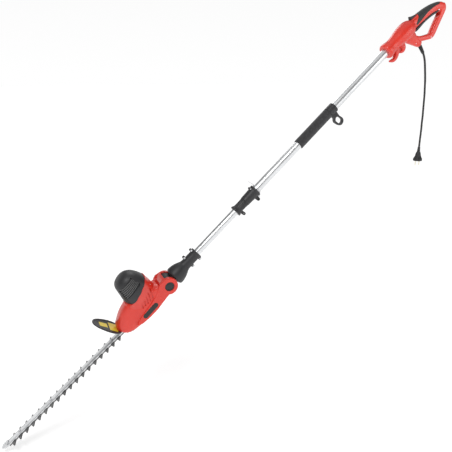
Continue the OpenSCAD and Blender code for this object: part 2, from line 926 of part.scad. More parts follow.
module blade_bolts() {
  color(steel) on_head() for (x = BOLTS) translate([x, 0, 0]) {
    translate([0, 0, lower_z - blade_t / 2 - 2.2]) cylinder(h = 2, r = 5.5);
    translate([0, 0, lower_z - blade_t / 2 - 0.3]) cylinder(h = 11.5, r = bolt_r - 0.02);
    translate([0, 0, rail_z + rail_t / 2 + 0.05]) cylinder(h = 3, r = 5);
  }
}

module tip_guard() {
  color(black) on_head() translate([blade_tip, 0, rail_z + rail_t / 2 + 0.05]) linear_extrude(2.5)
    difference() {
      union() {
        translate([10, 0]) circle(13);
        translate([10, -13]) square([10, 26]);
      }
      translate([14, 0]) circle(3);
    }
}

handle_shell_left();
handle_shell_right();
handle_soft_grip();
handle_screws();
trigger_pin();
trigger_spring();
switch_module();
capacitor();
cord_strain_relief();
mains_cord();
mains_plug();
plug_pins();
outer_tube();
front_grip();
loop_collar();
hanging_loop();
lock_body_left();
lock_body_right();
lock_screws();
guide_bush();
strap_eye();
coiled_lead();
lock_collar();
switch_trigger();
lock_off_button();
inner_tube();
tube_slider();
neck_shell_left();
neck_shell_right();
neck_screws();
inner_lead();
head_shell_left();
head_shell_right();
head_screws();
motor_cap();
badge_plate();
blade_guard();
guard_label();
pivot_bolt();
release_spring();
gear_case();
gear_case_cover();
motor_stator();
brush_holders();
motor_bearings();
blade_rail();
blade_bolts();
tip_guard();
release_button();
motor_rotor();
motor_fan();
pinion();
drive_gear();
upper_blade();
lower_blade();
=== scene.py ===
"""The looks of a telescopic pole hedge trimmer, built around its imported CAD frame.

Shapes are drawn in millimetres in two local frames and then placed: POLE has x along the pole
towards the handle, z to the motor side and y to the user's right, with its origin at the front
grip; HEAD is the same, tilted with the motor head, with its origin at the head's pivot.
"""

import json
import math

import bmesh
import bpy
from mathutils import Matrix, Vector


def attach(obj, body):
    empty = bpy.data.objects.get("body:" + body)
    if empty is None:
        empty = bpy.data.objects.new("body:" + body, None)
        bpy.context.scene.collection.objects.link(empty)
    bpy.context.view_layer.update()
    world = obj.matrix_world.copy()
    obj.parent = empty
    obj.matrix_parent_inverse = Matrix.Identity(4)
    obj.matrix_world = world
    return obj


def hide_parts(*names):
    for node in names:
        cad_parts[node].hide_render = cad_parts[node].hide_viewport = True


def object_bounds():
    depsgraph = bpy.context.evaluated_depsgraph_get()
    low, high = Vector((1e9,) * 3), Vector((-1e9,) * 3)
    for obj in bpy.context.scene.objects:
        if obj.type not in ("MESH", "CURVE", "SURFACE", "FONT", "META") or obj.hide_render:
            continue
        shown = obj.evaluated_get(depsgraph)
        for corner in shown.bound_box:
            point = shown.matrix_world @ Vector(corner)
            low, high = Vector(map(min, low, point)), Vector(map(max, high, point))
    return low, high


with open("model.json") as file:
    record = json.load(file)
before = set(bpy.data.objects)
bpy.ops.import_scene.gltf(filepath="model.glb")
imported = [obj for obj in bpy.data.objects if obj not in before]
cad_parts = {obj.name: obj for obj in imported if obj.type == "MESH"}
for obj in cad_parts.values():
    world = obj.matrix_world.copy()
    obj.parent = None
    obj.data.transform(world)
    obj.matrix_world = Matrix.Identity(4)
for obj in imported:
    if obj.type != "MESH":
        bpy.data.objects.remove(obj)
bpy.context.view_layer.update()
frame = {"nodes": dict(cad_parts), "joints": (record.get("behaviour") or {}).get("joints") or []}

NODES = frame["nodes"]
JOINTS = {j["name"]: j for j in frame["joints"]}

MM = 0.001
pole_dir = Vector(JOINTS["telescope_slide"]["axis"])
SLOPE = math.atan2(pole_dir.z, pole_dir.x)
POLE = Matrix.Rotation(-SLOPE, 4, "Y") @ Matrix.Scale(MM, 4)
head_up = Vector(JOINTS["rotor_spin"]["axis"])
HEAD_TURN = math.atan2(head_up.x, head_up.z)
HEAD = (Matrix.Translation(Vector(JOINTS["head_tilt"]["pos_m"]))
        @ Matrix.Rotation(HEAD_TURN, 4, "Y") @ Matrix.Scale(MM, 4))
ROW = Matrix.Scale(MM, 4)


# ------------------------------------------------------------------ camera

VIEW_AZIMUTH = -23.0      # degrees, from straight along +Y
VIEW_ELEVATION = 18.0
VIEW_DISTANCE = 1.68      # metres from the point aimed at
IMAGE_SIDE = 452
FOCAL_IN_PIXELS = 480.0
SENSOR = 36.0
AIM_ALONG_POLE = -466.0   # the point aimed at, ahead of the grip
AIM_NUDGE = (0.0080, -0.0074)


def make_camera():
    a, e = math.radians(VIEW_AZIMUTH), math.radians(VIEW_ELEVATION)
    back = Vector((math.sin(a) * math.cos(e), -math.cos(a) * math.cos(e), math.sin(e)))
    right = Vector((math.cos(a), math.sin(a), 0.0))
    up = back.cross(right)
    data = bpy.data.cameras.new("camera")
    data.sensor_width = SENSOR
    data.lens = SENSOR * FOCAL_IN_PIXELS / IMAGE_SIDE
    data.clip_start, data.clip_end = 0.05, 50.0
    cam = bpy.data.objects.new("camera", data)
    bpy.context.scene.collection.objects.link(cam)
    aim = POLE @ Vector((AIM_ALONG_POLE, 0, 0))
    cam.location = aim + back * VIEW_DISTANCE + right * AIM_NUDGE[0] + up * AIM_NUDGE[1]
    cam.rotation_mode = "QUATERNION"
    cam.rotation_quaternion = (-back).to_track_quat("-Z", "Y")
    bpy.context.scene.camera = cam


make_camera()


# ------------------------------------------------------------------ mesh helpers

def new_object(name, bm, matrix=ROW):
    """A mesh object from a bmesh drawn in millimetres, placed by matrix."""
    bm.transform(matrix)
    bmesh.ops.recalc_face_normals(bm, faces=bm.faces)
    mesh = bpy.data.meshes.new(name)
    bm.to_mesh(mesh)
    bm.free()
    obj = bpy.data.objects.new(name, mesh)
    bpy.context.scene.collection.objects.link(obj)
    return obj


def merge(bm, part, matrix=None):
    """Moves the solids of part into bm, placed by matrix."""
    if matrix is not None:
        part.transform(matrix)
    mesh = bpy.data.meshes.new("part")
    part.to_mesh(mesh)
    part.free()
    bm.from_mesh(mesh)
    bpy.data.meshes.remove(mesh)


def add_rings(bm, rings):
    """Skins a row of rings with the same number of points, and closes both ends."""
    rows = [[bm.verts.new(p) for p in ring] for ring in rings]
    count = len(rows[0])
    for first, second in zip(rows, rows[1:]):
        for k in range(count):
            bm.faces.new((first[k], first[(k + 1) % count],
                          second[(k + 1) % count], second[k]))
    bm.faces.new(list(reversed(rows[0])))
    bm.faces.new(rows[-1])


def power(value, exponent):
    return math.copysign(abs(value) ** exponent, value)


def spline(points, steps):
    """A smooth run through points (tuples of any length), steps between each two."""
    out = []
    last = len(points) - 1
    for i in range(last):
        p0, p1 = points[max(i - 1, 0)], points[i]
        p2, p3 = points[i + 1], points[min(i + 2, last)]
        for s in range(steps):
            t = s / steps
            out.append(tuple(
                0.5 * (2 * b + (c - a) * t + (2 * a - 5 * b + 4 * c - d) * t * t
                       + (3 * b - a - 3 * c + d) * t * t * t)
                for a, b, c, d in zip(p0, p1, p2, p3)))
    out.append(tuple(points[-1]))
    return out


def add_bar(bm, stations, roundness=2.5, steps=6, around=40):
    """A bar along stations (x, z, half thickness, half width) in the x-z plane."""
    run = spline(stations, steps)
    rings = []
    for i, (x, z, thick, wide) in enumerate(run):
        a, b = run[max(i - 1, 0)], run[min(i + 1, len(run) - 1)]
        tangent = Vector((b[0] - a[0], 0, b[1] - a[1])).normalized()
        normal = Vector((-tangent.z, 0, tangent.x))
        ring = []
        for k in range(around):
            turn = 2 * math.pi * k / around
            n = thick * power(math.sin(turn), 2 / roundness)
            y = wide * power(math.cos(turn), 2 / roundness)
            ring.append(Vector((x, y, z)) + normal * n)
        rings.append(ring)
    add_rings(bm, rings)


def add_stack(bm, stations, roundness=2.2, steps=6, around=56):
    """A body along stations (z, centre x, half length, half width, slope) stacked in z."""
    rings = []
    for z, x, long, wide, slope in spline(stations, steps):
        ring = []
        for k in range(around):
            turn = 2 * math.pi * k / around
            dx = long * power(math.cos(turn), 2 / roundness)
            dy = wide * power(math.sin(turn), 2 / roundness)
            ring.append(Vector((x + dx, dy, z + dx * slope)))
        rings.append(ring)
    add_rings(bm, rings)


def add_lathe(bm, profile, around=64, axis="X"):
    """A solid of revolution: profile is (along, radius) from one end to the other."""
    rings = []
    for along, radius in profile:
        ring = []
        for k in range(around):
            turn = 2 * math.pi * k / around
            a, b = radius * math.cos(turn), radius * math.sin(turn)
            ring.append(Vector({"X": (along, a, b), "Y": (b, along, a), "Z": (a, b, along)}[axis]))
        rings.append(ring)
    add_rings(bm, rings)


def add_prism(bm, outline, y0, y1):
    """An outline in x and z, drawn out along y."""
    add_rings(bm, [[(x, y, z) for x, z in outline] for y in (y0, y1)])


def add_box(bm, low, high):
    add_prism(bm, [(low[0], low[2]), (high[0], low[2]), (high[0], high[2]), (low[0], high[2])],
              low[1], high[1])


def round_outline(p, q, radius, steps=10):
    """A bar with round ends from p to q, as an outline."""
    heading = math.atan2(q[1] - p[1], q[0] - p[0])
    out = []
    for centre, start in ((q, heading - math.pi / 2), (p, heading + math.pi / 2)):
        for k in range(steps + 1):
            turn = start + math.pi * k / steps
            out.append((centre[0] + radius * math.cos(turn), centre[1] + radius * math.sin(turn)))
    return out


def apply_modifiers(obj):
    """Keeps what obj's modifiers make as its own mesh."""
    graph = bpy.context.evaluated_depsgraph_get()
    mesh = bpy.data.meshes.new_from_object(obj.evaluated_get(graph))
    obj.modifiers.clear()
    old = obj.data
    obj.data = mesh
    bpy.data.meshes.remove(old)
    return obj


def melt(obj, voxel, passes):
    """Gives obj soft moulded edges, by modifiers only."""
    remesh = obj.modifiers.new("remesh", "REMESH")
    remesh.mode = "VOXEL"
    remesh.voxel_size = voxel * MM
    remesh.use_smooth_shade = True
    smooth = obj.modifiers.new("smooth", "SMOOTH")
    smooth.factor = 0.5
    smooth.iterations = passes


def fuse(obj, voxel, passes):
    """Melts the overlapping solids of obj into one skin with soft joints."""
    melt(obj, voxel, passes)
    return apply_modifiers(obj)


def combine(obj, other, operation="DIFFERENCE"):
    """Boolean of obj with other, which is then removed."""
    cut = obj.modifiers.new("cut", "BOOLEAN")
    cut.operation = operation
    cut.solver = "EXACT"
    cut.object = other
    apply_modifiers(obj)
    bpy.data.objects.remove(other)
    return obj


def bore(obj, profile, place=POLE, axis="X", around=64):
    """Turns a hole out of obj: profile is (along, radius), placed by place."""
    bm = bmesh.new()
    add_lathe(bm, profile, around, axis)
    return combine(obj, new_object("bore", bm, place))


def keep_side(obj, name, side, at, matrix):
    """A copy of obj cut off at y = at, closed: side -1 keeps the user's left."""
    bm = bmesh.new()
    bm.from_mesh(obj.data)
    bm.transform(matrix.inverted())
    geometry = bm.verts[:] + bm.edges[:] + bm.faces[:]
    cut = bmesh.ops.bisect_plane(bm, geom=geometry, plane_co=(0, at, 0), plane_no=(0, -side, 0),
                                 clear_outer=True, dist=1e-4)
    edges = [e for e in cut["geom_cut"] if isinstance(e, bmesh.types.BMEdge)]
    bmesh.ops.holes_fill(bm, edges=edges, sides=0)
    return new_object(name, bm, matrix)


def grown(obj, name, by):
    """A copy of obj with its skin moved out by so many millimetres."""
    copy = bpy.data.objects.new(name, obj.data.copy())
    bpy.context.scene.collection.objects.link(copy)
    normals = [v.normal.copy() for v in copy.data.vertices]
    for vertex, normal in zip(copy.data.vertices, normals):
        vertex.co += normal * by * MM
    return copy


def shade(obj, smooth=True, angle=None):
    obj.data.polygons.foreach_set("use_smooth", [smooth] * len(obj.data.polygons))
    if angle is not None:
        obj.data.set_sharp_from_angle(angle=math.radians(angle))
    obj.data.update()
    return obj


def soften(obj, width, segments=2, angle=35):
    """Rounds the hard edges of obj."""
    bevel = obj.modifiers.new("edges", "BEVEL")
    bevel.width = width * MM
    bevel.segments = segments
    bevel.limit_method = "ANGLE"
    bevel.angle_limit = math.radians(angle)
    bevel.harden_normals = False
    return obj


def finish_piece(obj, body, material, replaces=()):
    """Gives obj its material and its body, and hides the CAD nodes that it replaces."""
    obj.data.materials.clear()
    obj.data.materials.append(material)
    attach(obj, body)
    if replaces:
        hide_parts(*replaces)
    return obj


def split_halves(solid, what, gap, matrix, body, material):
    """Cuts solid into left_what and right_what along its middle, and removes it."""
    halves = []
    for side, name in ((-1, "left"), (1, "right")):
        half = keep_side(solid, f"{name}_{what}", side, side * gap, matrix)
        finish_piece(shade(half, True, 40), body, material, [f"{what}_{name}"])
        halves.append(half)
    bpy.data.objects.remove(solid)
    return halves


# ------------------------------------------------------------------ materials

class Material:
    """A principled material with a few procedural layers."""

    def __init__(self, name, colour, roughness, metallic=0.0, **sockets):
        self.material = bpy.data.materials.new(name)
        self.material.use_nodes = True
        self.tree = self.material.node_tree
        self.shader = self.tree.nodes["Principled BSDF"]
        self.shader.inputs["Base Color"].default_value = (*colour, 1.0)
        self.shader.inputs["Roughness"].default_value = roughness
        self.shader.inputs["Metallic"].default_value = metallic
        for socket, value in sockets.items():
            self.shader.inputs[socket.replace("_", " ")].default_value = value
        self.bump = None

    def node(self, kind, **settings):
        node = self.tree.nodes.new(kind)
        for key, value in settings.items():
            setattr(node, key, value)
        return node

    def link(self, source, target):
        self.tree.links.new(source, target)

    def coordinates(self, stretch=(1, 1, 1), turn=0.0):
        """Object coordinates, turned about Y and stretched."""
        where = self.node("ShaderNodeTexCoord")
        mapping = self.node("ShaderNodeMapping")
        mapping.vector_type = "TEXTURE"
        mapping.inputs["Rotation"].default_value = (0, turn, 0)
        mapping.inputs["Scale"].default_value = stretch
        self.link(where.outputs["Object"], mapping.inputs["Vector"])
        return mapping.outputs["Vector"]

    def noise(self, scale, detail, stretch=(1, 1, 1), turn=0.0):
        node = self.node("ShaderNodeTexNoise")
        node.inputs["Scale"].default_value = scale
        node.inputs["Detail"].default_value = detail
        node.inputs["Roughness"].default_value = 0.55
        self.link(self.coordinates(stretch, turn), node.inputs["Vector"])
        return node.outputs["Fac"]

    def cells(self, scale):
        node = self.node("ShaderNodeTexVoronoi")
        node.inputs["Scale"].default_value = scale
        self.link(self.coordinates(), node.inputs["Vector"])
        return node.outputs["Distance"]

    def gloss(self, source, low, high):
        """Varies the roughness from low to high with source."""
        node = self.node("ShaderNodeMapRange")
        node.inputs["From Min"].default_value = 0.25
        node.inputs["From Max"].default_value = 0.75
        node.inputs["To Min"].default_value = low
        node.inputs["To Max"].default_value = high
        self.link(source, node.inputs["Value"])
        self.link(node.outputs["Result"], self.shader.inputs["Roughness"])

    def tint(self, source, dark, light):
        """Varies the base colour between two colours."""
        ramp = self.node("ShaderNodeValToRGB")
        ramp.color_ramp.elements[0].position = 0.3
        ramp.color_ramp.elements[1].position = 0.7
        ramp.color_ramp.elements[0].color = (*dark, 1)
        ramp.color_ramp.elements[1].color = (*light, 1)
        self.link(source, ramp.inputs["Fac"])
        self.link(ramp.outputs["Color"], self.shader.inputs["Base Color"])

    def relief(self, source, strength, distance):
        """Adds a bump layer on top of those already there."""
        node = self.node("ShaderNodeBump")
        node.inputs["Strength"].default_value = strength
        node.inputs["Distance"].default_value = distance * MM
        self.link(source, node.inputs["Height"])
        if self.bump is not None:
            self.link(self.bump.outputs["Normal"], node.inputs["Normal"])
        self.link(node.outputs["Normal"], self.shader.inputs["Normal"])
        self.bump = node


def red_plastic():
    m = Material("red_plastic", (0.68, 0.030, 0.016), 0.30, Coat_Weight=0.25, Coat_Roughness=0.16)
    m.tint(m.noise(9, 3), (0.63, 0.025, 0.013), (0.73, 0.036, 0.019))
    m.gloss(m.noise(60, 5), 0.26, 0.36)
    m.relief(m.noise(1900, 2), 0.03, 0.03)
    return m.material


def black_plastic():
    m = Material("black_plastic", (0.018, 0.018, 0.020), 0.45)
    m.tint(m.noise(14, 4), (0.014, 0.014, 0.016), (0.026, 0.026, 0.028))
    m.gloss(m.noise(90, 5), 0.38, 0.55)
    m.relief(m.noise(2300, 3), 0.12, 0.05)
    return m.material


def gloss_black():
    m = Material("gloss_black", (0.012, 0.012, 0.013), 0.18)
    m.gloss(m.noise(120, 4), 0.14, 0.26)
    return m.material


def soft_rubber():
    m = Material("soft_rubber", (0.016, 0.018, 0.018), 0.62, Sheen_Weight=0.15)
    m.gloss(m.noise(70, 4), 0.55, 0.72)
    m.relief(m.cells(900), 0.35, 0.15)
    return m.material


def grip_foam():
    m = Material("grip_foam", (0.022, 0.022, 0.024), 0.80, Sheen_Weight=0.25)
    m.tint(m.noise(160, 6), (0.015, 0.015, 0.017), (0.038, 0.038, 0.041))
    m.relief(m.cells(1300), 0.55, 0.25)
    m.relief(m.noise(420, 6), 0.30, 0.30)
    return m.material


def cord_rubber():
    m = Material("cord_rubber", (0.012, 0.012, 0.013), 0.48)
    m.gloss(m.noise(150, 4), 0.40, 0.58)
    m.relief(m.noise(800, 3), 0.15, 0.08)
    return m.material


def bright_tube():
    m = Material("bright_tube", (0.74, 0.75, 0.76), 0.30, metallic=1.0)
    lines = m.noise(900, 3, stretch=(60, 1, 1), turn=-SLOPE)
    m.gloss(lines, 0.26, 0.36)
    m.relief(lines, 0.02, 0.02)
    m.tint(m.noise(12, 3), (0.70, 0.71, 0.72), (0.78, 0.79, 0.80))
    return m.material


def cast_alloy():
    m = Material("cast_alloy", (0.55, 0.56, 0.57), 0.45, metallic=1.0)
    m.relief(m.noise(500, 5), 0.3, 0.2)
    m.tint(m.noise(40, 4), (0.48, 0.49, 0.50), (0.62, 0.63, 0.64))
    return m.material


def blade_steel():
    m = Material("blade_steel", (0.24, 0.24, 0.24), 0.36, metallic=1.0)
    lines = m.noise(700, 4, stretch=(1, 40, 1), turn=-SLOPE)
    m.gloss(lines, 0.24, 0.44)
    m.relief(lines, 0.12, 0.05)
    m.tint(m.noise(25, 5), (0.18, 0.18, 0.18), (0.30, 0.30, 0.30))
    return m.material


def rail_steel():
    m = Material("rail_steel", (0.70, 0.71, 0.72), 0.30, metallic=1.0)
    lines = m.noise(700, 4, stretch=(50, 1, 1), turn=-SLOPE)
    m.gloss(lines, 0.22, 0.40)
    m.relief(lines, 0.10, 0.05)
    m.tint(m.noise(18, 4), (0.60, 0.61, 0.62), (0.76, 0.77, 0.78))
    return m.material


def screw_steel():
    m = Material("screw_steel", (0.62, 0.63, 0.65), 0.28, metallic=1.0)
    m.gloss(m.noise(300, 4), 0.20, 0.40)
    m.tint(m.noise(120, 3), (0.52, 0.53, 0.55), (0.70, 0.70, 0.71))
    return m.material


def yellow_label():
    m = Material("yellow_label", (0.80, 0.62, 0.03), 0.35)
    m.tint(m.noise(60, 3), (0.74, 0.57, 0.03), (0.84, 0.68, 0.05))
    m.relief(m.noise(900, 2), 0.08, 0.04)
    return m.material


def copper_wire():
    m = Material("copper_wire", (0.70, 0.32, 0.16), 0.35, metallic=1.0)
    m.relief(m.noise(900, 2, stretch=(1, 1, 12)), 0.4, 0.2)
    m.tint(m.noise(80, 3), (0.60, 0.26, 0.12), (0.78, 0.38, 0.20))
    return m.material


def motor_steel():
    m = Material("motor_steel", (0.36, 0.36, 0.38), 0.42, metallic=1.0)
    m.relief(m.noise(1400, 1, stretch=(30, 30, 1)), 0.4, 0.15)
    m.tint(m.noise(50, 3), (0.30, 0.30, 0.32), (0.42, 0.42, 0.44))
    return m.material


def pin_metal():
    m = Material("pin_metal", (0.78, 0.74, 0.62), 0.22, metallic=1.0)
    m.gloss(m.noise(300, 3), 0.16, 0.30)
    return m.material


# Painted shade: a dark red for the sheet behind the head shells' seam, standing for the shaded inside of
# the housing.
def seam_painted_shade():
    m = Material("seam_painted_shade", (0.10, 0.006, 0.004), 0.8)
    m.gloss(m.noise(100, 3), 0.7, 0.9)
    return m.material


# Painted highlight: the cover's ribs are black plastic, given a lighter grey here to stand for the glints
# along them.
def rib_painted_highlight():
    m = Material("rib_painted_highlight", (0.13, 0.13, 0.13), 0.32)
    m.gloss(m.noise(200, 3), 0.26, 0.38)
    return m.material


RED = red_plastic()
RIB_HIGHLIGHT = rib_painted_highlight()
BLACK = black_plastic()
GLOSS = gloss_black()
RUBBER = soft_rubber()
FOAM = grip_foam()
CORD = cord_rubber()
TUBE = bright_tube()
CAST = cast_alloy()
BLADE = blade_steel()
RAIL = rail_steel()
SCREW = screw_steel()
YELLOW = yellow_label()
COPPER = copper_wire()
LAMINATION = motor_steel()
PIN = pin_metal()
SEAM_SHADE = seam_painted_shade()

NODE_LOOKS = {
    BLACK: ["switch_module", "loop_collar", "hanging_loop", "guide_bush", "tube_slider",
            "motor_fan"],
    CORD: ["coiled_lead", "inner_lead"],
    YELLOW: ["capacitor"],
    TUBE: ["outer_tube", "inner_tube"],
    CAST: ["gear_case", "gear_case_cover"],
    SCREW: ["handle_screws", "trigger_pin", "trigger_spring", "lock_screws", "neck_screws",
            "strap_eye", "head_screws", "pivot_bolt", "release_spring", "motor_bearings",
            "blade_bolts", "pinion", "drive_gear"],
    BLADE: ["upper_blade", "lower_blade"],
    RAIL: ["tip_guard"],
    LAMINATION: ["motor_stator"],
    COPPER: ["motor_rotor", "brush_holders"],
    PIN: ["plug_pins"],
}


def dress_nodes():
    """Gives each CAD node that stays its own material."""
    for material, names in NODE_LOOKS.items():
        for name in names:
            mesh = NODES[name].data
            mesh.materials.clear()
            mesh.materials.append(material)


dress_nodes()
fine = 1.0
for moulded in ("hanging_loop", "loop_collar"):
    melt(NODES[moulded], 0.45 * fine, 3)


# ------------------------------------------------------------------ blades

FIRST_TOOTH, TOOTH_PITCH, TEETH = -246, 28, 18
BLADE_TIP = -763
TOOTH_SHIFT = 1           # the lower blade stands this far behind the upper one at rest
BEAM_HALF = 12.6
BEAM_END = -196.3
BEAM_EDGE = [(0.9, -13.45), (0.1, -12.7), (0, -11.6), (0, -9.9), (0.5, -8.9), (1.5, -8.3)]


def grind_teeth(name, shift):
    """Narrows the teeth of a blade to slim triangles, as ground cutting edges."""
    bm = bmesh.new()
    for k in range(-1, TEETH):
        right = FIRST_TOOTH - k * TOOTH_PITCH + shift
        left = right - TOOTH_PITCH
        flank = [(7.4, 12.2), (1.4, 29.5), (0.4, 30.4), (0.4, 40)]
        gap = [(left + x, y) for x, y in flank] + [(right - x, y) for x, y in reversed(flank)]
        for side in (-1, 1):
            add_rings(bm, [[(x, side * y, z) for x, y in gap] for z in (-30, 10)])
    node = NODES[name]
    blade = bpy.data.objects.new("ground_" + name, node.data.copy())
    bpy.context.scene.collection.objects.link(blade)
    blade.matrix_world = node.matrix_world.copy()
    combine(blade, new_object("gaps", bm, HEAD))
    soften(blade, 0.25, 1, 40)
    apply_modifiers(blade)
    return finish_piece(shade(blade, True, 30), name, BLADE, [name])


def make_blade_beam():
    """The stiff bar over the blades, with rolled edges and a round end."""
    bm = bmesh.new()
    rings = []
    for inset, z in BEAM_EDGE:
        r = BEAM_HALF - inset
        end = [(BLADE_TIP + 13 + r * math.cos(t), r * math.sin(t), z)
               for t in (math.radians(90 + 7.5 * k) for k in range(25))]
        rings.append(end + [(BEAM_END, -r, z), (BEAM_END, r, z)])
    add_rings(bm, rings)
    beam = shade(new_object("blade_beam", bm, HEAD), True, 35)
    return finish_piece(beam, "head", RAIL, ["blade_rail"])


for cutter_name, cutter_shift in (("upper_blade", 0), ("lower_blade", TOOTH_SHIFT)):
    grind_teeth(cutter_name, cutter_shift)
make_blade_beam()


# ------------------------------------------------------------------ mains cord and plug

CORD_D = 7.5
CORD_ROUTE = [
    (467, 262), (473, 252), (478, 240), (482, 227), (485, 213), (488, 198), (491, 182),
    (494, 164), (496, 146), (498, 127), (500, 107), (501, 87), (502, 66), (503, 45),
    (504, 23), (504, 1), (505, -21), (505, -43), (505, -65), (505, -80), (505, -94),
]
EXIT = (524, -82)         # where the strain relief leaves the handle, on POLE
RELIEF_LEAN = 3.0         # degrees


def make_cord():
    curve = bpy.data.curves.new("mains_lead", "CURVE")
    curve.dimensions = "3D"
    curve.bevel_depth = CORD_D / 2 * MM
    curve.bevel_resolution = 6
    curve.resolution_u = 6
    curve.use_fill_caps = True
    line = curve.splines.new("BEZIER")
    line.bezier_points.add(len(CORD_ROUTE) - 1)
    for point, (x, z) in zip(line.bezier_points, CORD_ROUTE):
        point.co = Vector((x, 0, z)) * MM
        point.handle_left_type = point.handle_right_type = "AUTO"
    curve.materials.append(CORD)
    obj = bpy.data.objects.new("mains_lead", curve)
    bpy.context.scene.collection.objects.link(obj)
    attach(obj, "pole")
    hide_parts("mains_cord")
    return obj


def make_relief():
    """The ribbed rubber sleeve that keeps the cord from kinking at the handle."""
    place = (POLE @ Matrix.Translation((EXIT[0], 0, EXIT[1]))
             @ Matrix.Rotation(math.radians(180 + RELIEF_LEAN), 4, "Y"))
    bm = bmesh.new()
    profile = [(-4, 0.5), (-4, 5.8), (2, 5.9), (2.3, 7.0), (4, 7.2), (5, 6.6)]
    for rib in range(6):
        start = 6 + 4.6 * rib
        radius = 7.2 - 0.22 * rib
        profile += [(start, radius - 0.9), (start + 1.2, radius - 1.0), (start + 1.5, radius - 0.1),
                    (start + 3.4, radius - 0.15), (start + 3.8, radius - 0.7)]
    profile += [(35.5, 5.6), (36.3, 5.2), (36.3, 0.5)]
    add_lathe(bm, profile, 40, "Z")
    obj = shade(new_object("strain_relief", bm, place), True, 50)
    return finish_piece(obj, "pole", CORD, ["cord_strain_relief"])


def make_plug():
    """Flat-faced round mains plug with a finger groove."""
    top = CORD_ROUTE[-1]
    place = Matrix.Translation(Vector((top[0], 0, top[1])) * MM) @ ROW
    bm = bmesh.new()
    profile = [(0, 0.5), (0, 4.9), (-1, 5.2), (-4, 5.3), (-4.6, 4.7), (-6, 4.8), (-6.6, 5.5),
               (-10, 5.7), (-10.6, 5.1), (-12, 5.2), (-12.6, 6.0), (-18, 6.4), (-20, 7.6),
               (-23, 9.4), (-30, 10.6), (-38, 12.6), (-42, 14.6), (-44.5, 16.6), (-46, 17.3),
               (-53.5, 17.5), (-54.6, 17.0), (-55, 16.0), (-55, 0.5)]
    add_lathe(bm, profile, 64, "Z")
    obj = new_object("mains_plug_body", bm, place)
    cutter = bmesh.new()
    for low, high in ((-14.4, -9.4), (9.4, 14.4)):
        add_box(cutter, (-7, low, -40), (7, high, -24))
    combine(obj, new_object("cutter", cutter, place))
    shade(obj, True, 42)
    return finish_piece(obj, "pole", CORD, ["mains_plug"])


lead = make_cord()
relief = make_relief()
plug = make_plug()


# ------------------------------------------------------------------ handle

HANDLE_SCREWS = [(478, -22), (506, -62), (574, -90), (668, -48), (676, -36), (526, 14)]
HANDLE_HALF = 16.0
SEAM_GAP = 0.18           # half the gap between two shells
SWITCH_ROOM = [(500, -14), (531, -13), (612, -16), (650, -26), (656, -24), (648, -12),
               (612, 1), (584, 7), (545, 13), (500, 18)]


def handle_solid():
    bm = bmesh.new()
    add_lathe(bm, spline([(389, 15.2), (389.2, 24.6), (392, 27.4), (398, 28.4), (405, 27.4), (413, 25),
                          (422, 24.2), (436, 24.4), (450, 26.3), (464, 28.7), (481, 30.6), (497, 31.2),
                          (510, 30.3), (521, 27.2), (530, 22), (537, 14), (540, 3)], 4))
    # hand grip, thick behind the barrel and slimmer at the back
    add_bar(bm, [(500, -1, 20, 17), (528, -1, 19.5, 17), (548, -1.5, 18.7, 16.5), (572, -3.2, 18.4, 16.2),
                 (600, -6.5, 17.2, 16), (628, -12, 15.8, 15.6), (652, -20.5, 15.2, 15),
                 (669, -30.5, 15.4, 14.2), (678.5, -41, 14, 13)], 2.6)
    # rear bar and lower bar of the loop
    add_bar(bm, [(676, -34, 16, 13), (675, -45, 14, 12.8), (656, -56.5, 12, 12.4),
                 (628, -69, 11.8, 12.2), (604, -80, 11.6, 12.2), (588, -87, 11, 12),
                 (578, -88.2, 10.4, 11.6), (566, -82.5, 10, 11.2), (548, -72.5, 9.6, 11),
                 (530, -61, 10.6, 11), (514, -48, 15, 12)], 3.0)
    # cord outlet under the barrel
    add_bar(bm, [(500, -16, 26, 19), (505, -32, 24.5, 16), (511, -50, 18.5, 13.5),
                 (517, -64, 15, 12.5), (522, -75, 13, 11.8), (524, -81, 11, 10.8)], 2.5)
    # cord hooks
    add_bar(bm, [(437, -16, 15, 9.5), (432, -27, 12, 9.5), (424, -37, 9, 9.2), (411, -44.5, 7.6, 9),
                 (398, -44.5, 6.4, 8.6), (388, -38.5, 3.6, 7.6)], 2.8)
    add_bar(bm, [(463, -16, 15, 9.5), (461, -30, 12.5, 9.5), (458, -40, 10.5, 9.2), (450, -45, 7.6, 8.6),
                 (440, -42.5, 4.6, 7.6)], 2.8)
    obj = new_object("handle_solid", bm, POLE)
    fuse(obj, 1.1 * fine, 4)
    for at, radius in ((411.5, 26.0), (462, 29.2)):
        bore(obj, [(at - 0.6, radius - 1.0), (at - 0.9, radius + 4), (at + 0.9, radius + 4),
                   (at + 0.6, radius - 1.0), (at - 0.6, radius - 1.0)])
    return obj


def switch_room():
    bm = bmesh.new()
    inside = HANDLE_HALF - 2.8
    add_prism(bm, SWITCH_ROOM, -inside, inside)
    return new_object("switch_room", bm, POLE)


def handle_hollow():
    """Bore for the tube, room for switch and trigger, and the mouths in the shell."""
    bm = bmesh.new()
    add_lathe(bm, [(380, 15.2), (456, 15.2)], 48)
    tube = new_object("tube_bore", bm, POLE)
    room = switch_room()
    bm = bmesh.new()
    add_prism(bm, [(532, -10), (532, -40), (657, -56), (657, -24)], -10.6, 10.6)
    mouth = new_object("trigger_mouth", bm, POLE)
    return [tube, room, mouth]


LOCK_OFF = Matrix.Translation((550, 0, 13)) @ Matrix.Rotation(math.radians(20), 4, "Y")


def lock_off_mouth():
    bm = bmesh.new()
    add_box(bm, (-15.5, -6.5, -15), (15.5, 6.5, 15))
    return new_object("lock_off_mouth", bm, POLE @ LOCK_OFF)


WELL_R = 3.7


def screw_wells(points, bottom, matrix):
    """Counterbores for screw heads, from y = bottom out to the user's right."""
    bm = bmesh.new()
    for x, z in points:
        well = bmesh.new()
        add_lathe(well, [(bottom, WELL_R), (60, WELL_R)], 28, "Y")
        merge(bm, well, Matrix.Translation((x, 0, z)))
    return new_object("screw_wells", bm, matrix)


